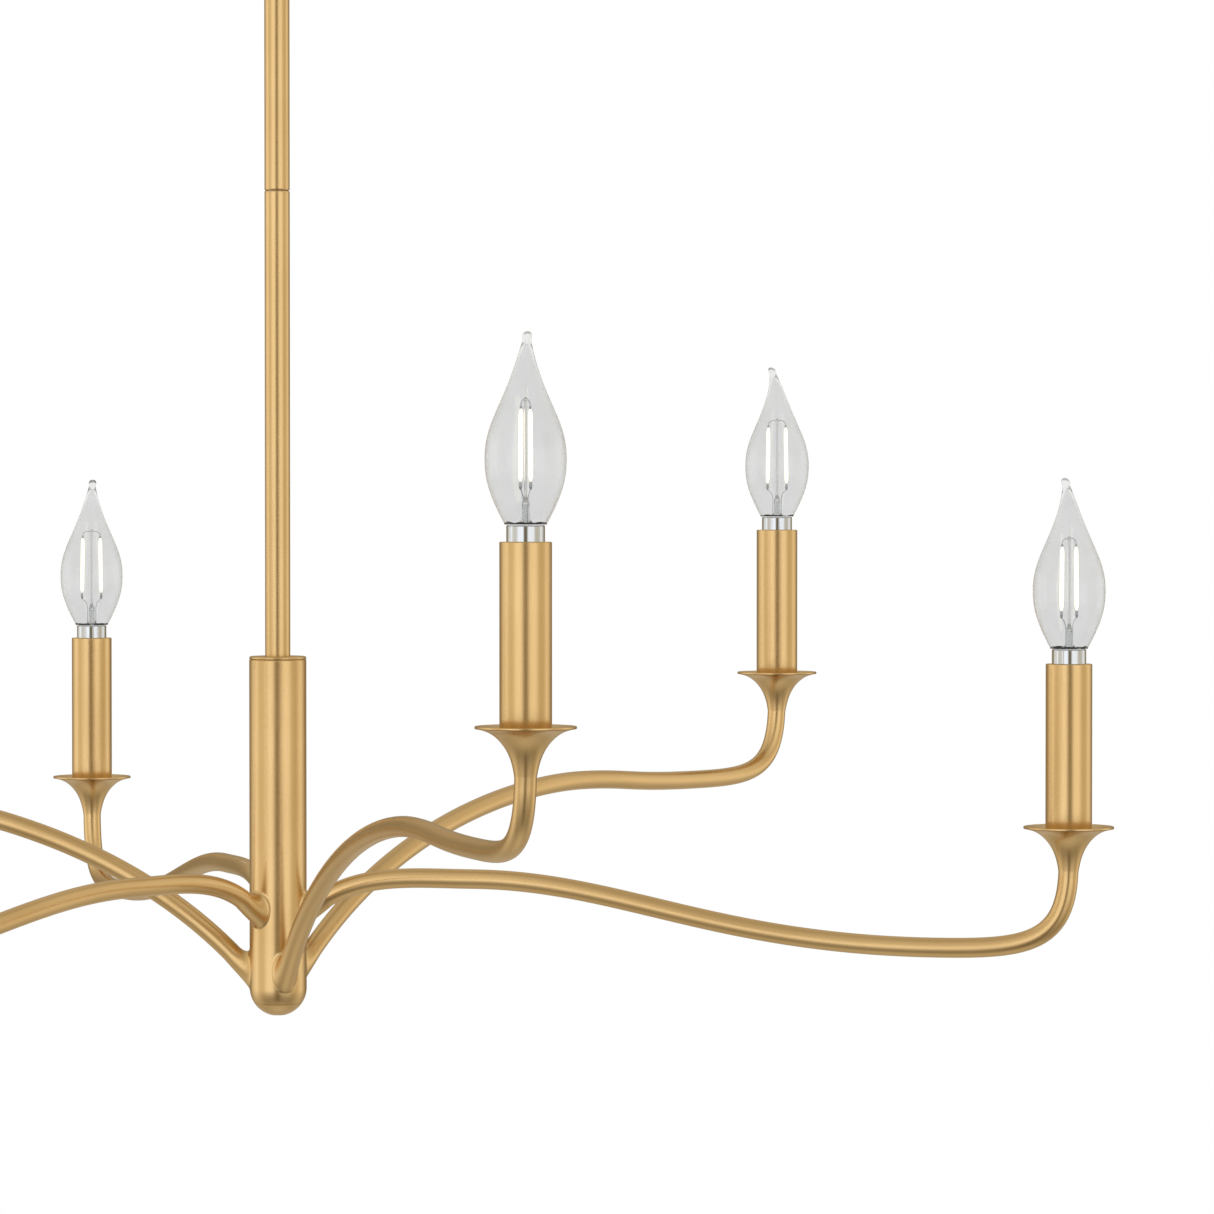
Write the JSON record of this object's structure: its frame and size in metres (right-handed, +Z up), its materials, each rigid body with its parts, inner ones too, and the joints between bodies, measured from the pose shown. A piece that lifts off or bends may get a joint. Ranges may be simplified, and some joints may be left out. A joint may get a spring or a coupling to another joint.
{
  "type": "multi arm chandelier",
  "caption": "Two-tier candle chandelier in satin brass: S-curved arms with trumpet cups on a slim round hub, hung on a jointed rod stem from a canopy with a tilting swivel.",
  "frame": {"origin": "on the ceiling plane, where the stem's centre line meets it", "axes": "+Z up, out of the ceiling; arm 1, which leaves the hub's foot, points along -Y, and the other arms follow every 60 degrees turning towards +X"},
  "size_m": [0.7262, 0.8318, 0.7891],
  "materials": {
    "satin_brass": "satin, finely brushed along each piece",
    "zinc_steel": "zinc plated",
    "green_screw": "green ground screw",
    "socket_plastic": "moulded phenolic",
    "bulb_chrome": "polished nickel",
    "clear_glass": "clear blown glass",
    "filament_glow": "warm phosphor coating, lit"
  },
  "bodies": {
    "root": {"canopy": "satin_brass", "ceiling_bar": "zinc_steel", "canopy_screw_left": "zinc_steel", "canopy_screw_right": "zinc_steel", "canopy_knob_left": "satin_brass", "canopy_knob_right": "satin_brass", "ground_screw": "green_screw", "ceiling_nipple": "zinc_steel", "nipple_locknut": "zinc_steel"},
    "swivel": {"swivel_yoke": "satin_brass", "swivel_pin": "satin_brass"},
    "fixture": {"swivel_tongue": "satin_brass", "upper_rod": "satin_brass", "rod_coupling": "zinc_steel", "lower_rod": "satin_brass", "hub_top_cap": "satin_brass", "hub_column": "satin_brass", "hub_foot_plug": "satin_brass", "rod_seat": "zinc_steel", "arm_1": "satin_brass", "arm_2": "satin_brass", "arm_3": "satin_brass", "arm_4": "satin_brass", "arm_5": "satin_brass", "arm_6": "satin_brass", "lamp_socket_1": "socket_plastic", "lamp_socket_2": "socket_plastic", "lamp_socket_3": "socket_plastic", "lamp_socket_4": "socket_plastic", "lamp_socket_5": "socket_plastic", "lamp_socket_6": "socket_plastic"},
    "sleeve_1": {"candle_sleeve_1": "satin_brass"},
    "bulb_1": {"bulb_base_1": "bulb_chrome", "bulb_glass_1": "clear_glass", "filament_1": "filament_glow"},
    "sleeve_2": {"candle_sleeve_2": "satin_brass"},
    "bulb_2": {"bulb_base_2": "bulb_chrome", "bulb_glass_2": "clear_glass", "filament_2": "filament_glow"},
    "sleeve_3": {"candle_sleeve_3": "satin_brass"},
    "bulb_3": {"bulb_base_3": "bulb_chrome", "bulb_glass_3": "clear_glass", "filament_3": "filament_glow"},
    "sleeve_4": {"candle_sleeve_4": "satin_brass"},
    "bulb_4": {"bulb_base_4": "bulb_chrome", "bulb_glass_4": "clear_glass", "filament_4": "filament_glow"},
    "sleeve_5": {"candle_sleeve_5": "satin_brass"},
    "bulb_5": {"bulb_base_5": "bulb_chrome", "bulb_glass_5": "clear_glass", "filament_5": "filament_glow"},
    "sleeve_6": {"candle_sleeve_6": "satin_brass"},
    "bulb_6": {"bulb_base_6": "bulb_chrome", "bulb_glass_6": "clear_glass", "filament_6": "filament_glow"}
  },
  "joints": [
    {"name": "stem_turn", "type": "hinge", "parent": "root", "child": "swivel", "pos_m": [0, 0, -0.0243], "axis": [0, 0, 1], "range_deg": [-170, 170]},
    {"name": "stem_tilt", "type": "hinge", "parent": "swivel", "child": "fixture", "pos_m": [0, 0, -0.0433], "axis": [0, 1, 0], "range_deg": [-30, 30]},
    {"name": "sleeve_lift_1", "type": "slide", "parent": "fixture", "child": "sleeve_1", "axis": [0, 0, 1], "range_m": [0, 0.006]},
    {"name": "bulb_out_1", "type": "slide", "parent": "fixture", "child": "bulb_1", "axis": [0, 0, 1], "range_m": [0, 0.03]},
    {"name": "sleeve_lift_2", "type": "slide", "parent": "fixture", "child": "sleeve_2", "axis": [0, 0, 1], "range_m": [0, 0.006]},
    {"name": "bulb_out_2", "type": "slide", "parent": "fixture", "child": "bulb_2", "axis": [0, 0, 1], "range_m": [0, 0.03]},
    {"name": "sleeve_lift_3", "type": "slide", "parent": "fixture", "child": "sleeve_3", "axis": [0, 0, 1], "range_m": [0, 0.006]},
    {"name": "bulb_out_3", "type": "slide", "parent": "fixture", "child": "bulb_3", "axis": [0, 0, 1], "range_m": [0, 0.03]},
    {"name": "sleeve_lift_4", "type": "slide", "parent": "fixture", "child": "sleeve_4", "axis": [0, 0, 1], "range_m": [0, 0.006]},
    {"name": "bulb_out_4", "type": "slide", "parent": "fixture", "child": "bulb_4", "axis": [0, 0, 1], "range_m": [0, 0.03]},
    {"name": "sleeve_lift_5", "type": "slide", "parent": "fixture", "child": "sleeve_5", "axis": [0, 0, 1], "range_m": [0, 0.006]},
    {"name": "bulb_out_5", "type": "slide", "parent": "fixture", "child": "bulb_5", "axis": [0, 0, 1], "range_m": [0, 0.03]},
    {"name": "sleeve_lift_6", "type": "slide", "parent": "fixture", "child": "sleeve_6", "axis": [0, 0, 1], "range_m": [0, 0.006]},
    {"name": "bulb_out_6", "type": "slide", "parent": "fixture", "child": "bulb_6", "axis": [0, 0, 1], "range_m": [0, 0.03]}
  ]
}
